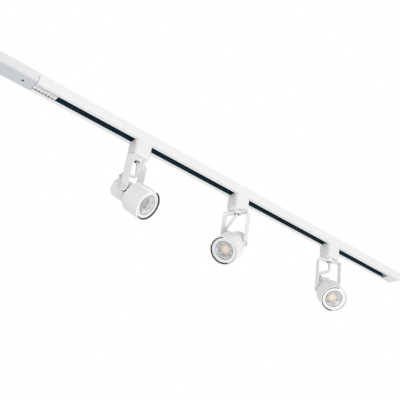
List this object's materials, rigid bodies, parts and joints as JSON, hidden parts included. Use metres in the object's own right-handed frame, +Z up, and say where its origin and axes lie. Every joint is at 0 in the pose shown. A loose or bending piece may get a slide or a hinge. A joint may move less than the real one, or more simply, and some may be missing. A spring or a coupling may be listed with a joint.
{
  "type": "track lighting fixture",
  "caption": "White ceiling track with a live-end feed box and dead-end cap, carrying sliding adapters with panning yokes that hold tilting, stepped spot cans.",
  "frame": {"origin": "middle of the track's ceiling face", "axes": "+Z up into the ceiling, +X along the track from the live end to the dead end"},
  "size_m": [1.1105, 0.0928, 0.1817],
  "materials": {
    "white_paint": "satin",
    "white_plastic": "satin",
    "black_plastic": "matte",
    "cream_plastic": "matte",
    "copper": "bright",
    "zinc_steel": "bright zinc",
    "white_rubber": "matte",
    "lead_sleeve": "satin",
    "holder_ceramic": "matte",
    "lamp_shell": "satin",
    "clear_lens": "clear",
    "led_yellow": "gloss",
    "spring_steel": "dark"
  },
  "bodies": {
    "track": {"track_channel": "white_paint", "track_insulators": "black_plastic", "track_conductors": "copper", "live_end_housing": "white_plastic", "live_end_cover": "white_plastic", "cover_screw": "zinc_steel", "live_end_plug": "white_plastic", "live_end_contacts": "copper", "terminal_block": "cream_plastic", "terminal_screws": "zinc_steel", "cable_grommet": "white_rubber", "end_cap": "white_plastic"},
    "adapter_body_1": {"adapter_housing_1": "white_plastic", "adapter_head_1": "white_plastic", "adapter_contacts_1": "copper"},
    "latch_body_1": {"release_latch_1": "white_plastic"},
    "yoke_body_1": {"swivel_stem_1": "white_paint", "yoke_1": "white_paint", "lead_1": "lead_sleeve"},
    "spot_body_1": {"lamp_can_1": "white_paint", "lead_grommet_1": "white_rubber", "pivot_screws_1": "zinc_steel", "pivot_washers_1": "black_plastic", "lampholder_1": "holder_ceramic", "lamp_body_1": "lamp_shell", "lamp_lens_1": "clear_lens", "led_chip_1": "led_yellow", "retaining_ring_1": "spring_steel"},
    "adapter_body_2": {"adapter_housing_2": "white_plastic", "adapter_head_2": "white_plastic", "adapter_contacts_2": "copper"},
    "latch_body_2": {"release_latch_2": "white_plastic"},
    "yoke_body_2": {"swivel_stem_2": "white_paint", "yoke_2": "white_paint", "lead_2": "lead_sleeve"},
    "spot_body_2": {"lamp_can_2": "white_paint", "lead_grommet_2": "white_rubber", "pivot_screws_2": "zinc_steel", "pivot_washers_2": "black_plastic", "lampholder_2": "holder_ceramic", "lamp_body_2": "lamp_shell", "lamp_lens_2": "clear_lens", "led_chip_2": "led_yellow", "retaining_ring_2": "spring_steel"},
    "adapter_body_3": {"adapter_housing_3": "white_plastic", "adapter_head_3": "white_plastic", "adapter_contacts_3": "copper"},
    "latch_body_3": {"release_latch_3": "white_plastic"},
    "yoke_body_3": {"swivel_stem_3": "white_paint", "yoke_3": "white_paint", "lead_3": "lead_sleeve"},
    "spot_body_3": {"lamp_can_3": "white_paint", "lead_grommet_3": "white_rubber", "pivot_screws_3": "zinc_steel", "pivot_washers_3": "black_plastic", "lampholder_3": "holder_ceramic", "lamp_body_3": "lamp_shell", "lamp_lens_3": "clear_lens", "led_chip_3": "led_yellow", "retaining_ring_3": "spring_steel"}
  },
  "joints": [
    {"name": "track_slide_1", "type": "slide", "parent": "track", "child": "adapter_body_1", "axis": [1, 0, 0], "range_m": [-0.15, 0.06]},
    {"name": "latch_pull_1", "type": "slide", "parent": "adapter_body_1", "child": "latch_body_1", "axis": [0, 0, -1], "range_m": [0, 0.003], "stiffness_N_per_m": 300, "springref_m": -0.003},
    {"name": "pan_1", "type": "hinge", "parent": "adapter_body_1", "child": "yoke_body_1", "pos_m": [-0.274, 0, -0.0543], "axis": [0, 0, 1], "range_deg": [-175, 175]},
    {"name": "tilt_1", "type": "hinge", "parent": "yoke_body_1", "child": "spot_body_1", "pos_m": [-0.274, 0, -0.127], "axis": [-0.8572, -0.515, 0], "range_deg": [-58, 32], "deforming": ["lead_1"]},
    {"name": "track_slide_2", "type": "slide", "parent": "track", "child": "adapter_body_2", "axis": [1, 0, 0], "range_m": [-0.06, 0.06]},
    {"name": "latch_pull_2", "type": "slide", "parent": "adapter_body_2", "child": "latch_body_2", "axis": [0, 0, -1], "range_m": [0, 0.003], "stiffness_N_per_m": 300, "springref_m": -0.003},
    {"name": "pan_2", "type": "hinge", "parent": "adapter_body_2", "child": "yoke_body_2", "pos_m": [-0.022, 0, -0.0543], "axis": [0, 0, 1], "range_deg": [-175, 175]},
    {"name": "tilt_2", "type": "hinge", "parent": "yoke_body_2", "child": "spot_body_2", "pos_m": [-0.022, 0, -0.127], "axis": [-0.4305, 0.9026, 0], "range_deg": [-50, 40], "deforming": ["lead_2"]},
    {"name": "track_slide_3", "type": "slide", "parent": "track", "child": "adapter_body_3", "axis": [1, 0, 0], "range_m": [-0.06, 0.14]},
    {"name": "latch_pull_3", "type": "slide", "parent": "adapter_body_3", "child": "latch_body_3", "axis": [0, 0, -1], "range_m": [0, 0.003], "stiffness_N_per_m": 300, "springref_m": -0.003},
    {"name": "pan_3", "type": "hinge", "parent": "adapter_body_3", "child": "yoke_body_3", "pos_m": [0.264, 0, -0.0543], "axis": [0, 0, 1], "range_deg": [-175, 175]},
    {"name": "tilt_3", "type": "hinge", "parent": "yoke_body_3", "child": "spot_body_3", "pos_m": [0.264, 0, -0.127], "axis": [-0.9063, 0.4226, 0], "range_deg": [-49, 41], "deforming": ["lead_3"]}
  ]
}
